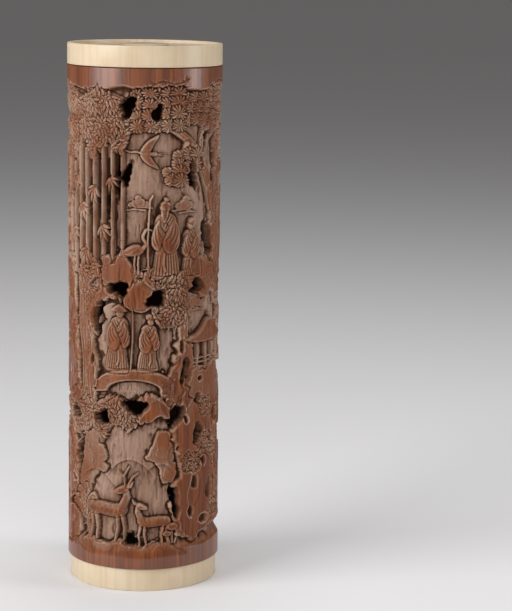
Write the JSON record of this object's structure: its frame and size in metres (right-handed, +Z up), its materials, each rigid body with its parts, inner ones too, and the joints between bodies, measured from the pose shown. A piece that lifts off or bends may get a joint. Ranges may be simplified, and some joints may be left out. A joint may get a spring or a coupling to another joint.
{
  "type": "bamboo incense holder",
  "caption": "Openwork carved bamboo tube on a turned base ring with a lift-off lid, holding an upright joss stick in an inner socket so that the smoke leaves through the piercings.",
  "frame": {"origin": "centre of the foot, on the surface the holder stands on", "axes": "+Z up along the tube, -Y towards the viewer of the picture, +X to the viewer's right"},
  "size_m": [0.062, 0.062, 0.2171],
  "materials": {
    "bamboo": "waxed, polished skin over matt carved ground",
    "ivory": "polished, satin"
  },
  "bodies": {
    "holder": {"bamboo_tube": "bamboo", "base_ring": "ivory", "base_panel": "ivory", "stick_socket": "ivory"},
    "lid": {"lid_ring": "ivory", "lid_panel": "ivory", "lid_button": "ivory"}
  },
  "joints": [
    {"name": "lid_lift", "type": "slide", "parent": "holder", "child": "lid", "axis": [0, 0, 1], "range_m": [0, 0.06]}
  ]
}
